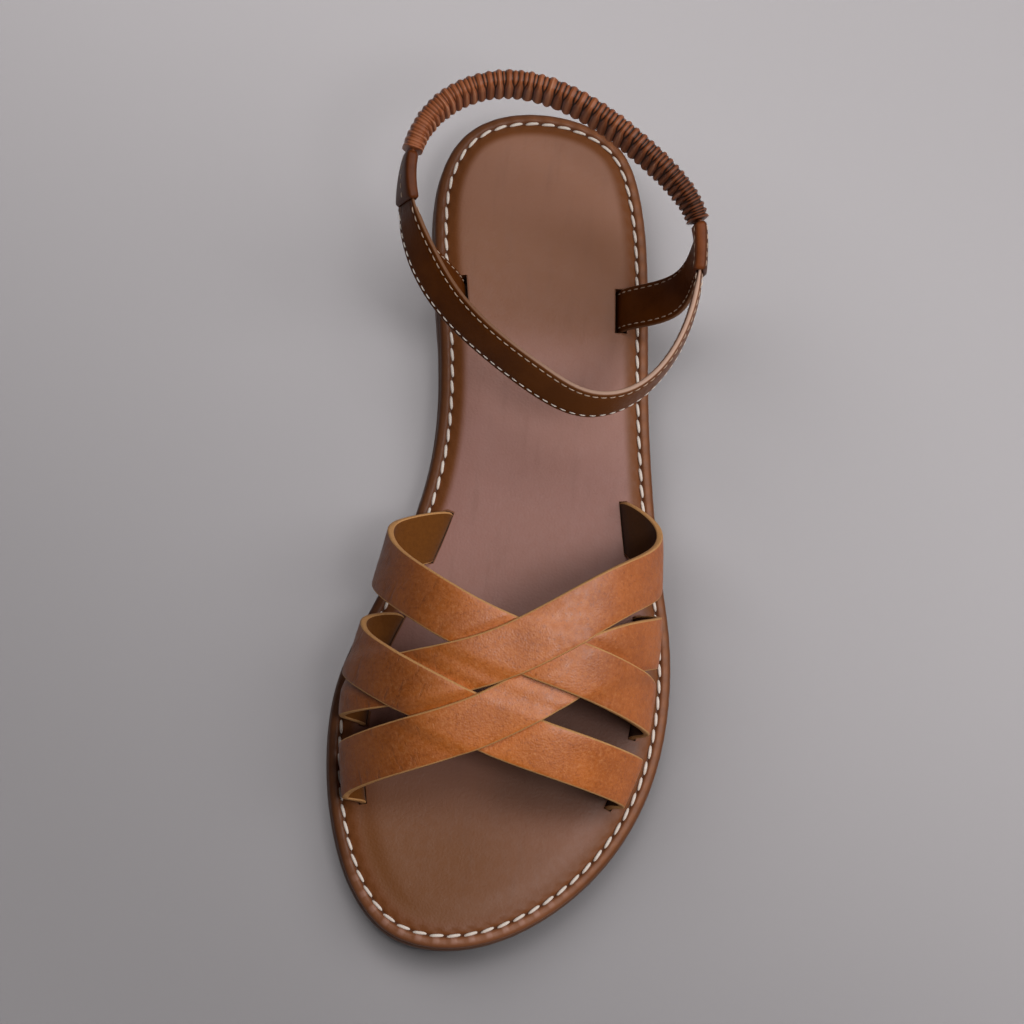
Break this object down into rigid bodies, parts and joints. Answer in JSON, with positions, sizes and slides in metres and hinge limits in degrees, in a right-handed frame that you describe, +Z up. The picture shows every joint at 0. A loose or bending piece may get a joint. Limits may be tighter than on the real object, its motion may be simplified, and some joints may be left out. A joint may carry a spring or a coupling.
{
  "type": "flat strap sandal",
  "caption": "Flat leather sandal worn on the left foot, with woven instep straps and an ankle ring with a gathered elastic back, on a padded footbed and a low rubber sole.",
  "frame": {"origin": "middle of the shoe's plan on the floor it stands on", "axes": "+Z up, +Y from toe to heel, +X from the big-toe side to the little-toe side"},
  "size_m": [0.0968, 0.25, 0.0727],
  "materials": {
    "sole_rubber": "matt brown rubber with a smooth rounded edge",
    "footbed_leather": "chocolate leather, worn paler in the middle, cream stitches round the rim",
    "strap_leather": "tan grained leather with pale raw edges",
    "dark_leather": "dark brown half-gloss leather with fine pale stitches",
    "gathered_leather": "soft red-brown leather gathered over elastic",
    "cream_thread": "twisted cream thread, matt"
  },
  "bodies": {
    "root": {"outsole": "sole_rubber", "insole": "footbed_leather", "upper_woven_straps": "strap_leather", "tab_medial": "dark_leather", "tab_lateral": "dark_leather", "ankle_strap": "dark_leather", "elastic_back": "gathered_leather"}
  },
  "joints": []
}
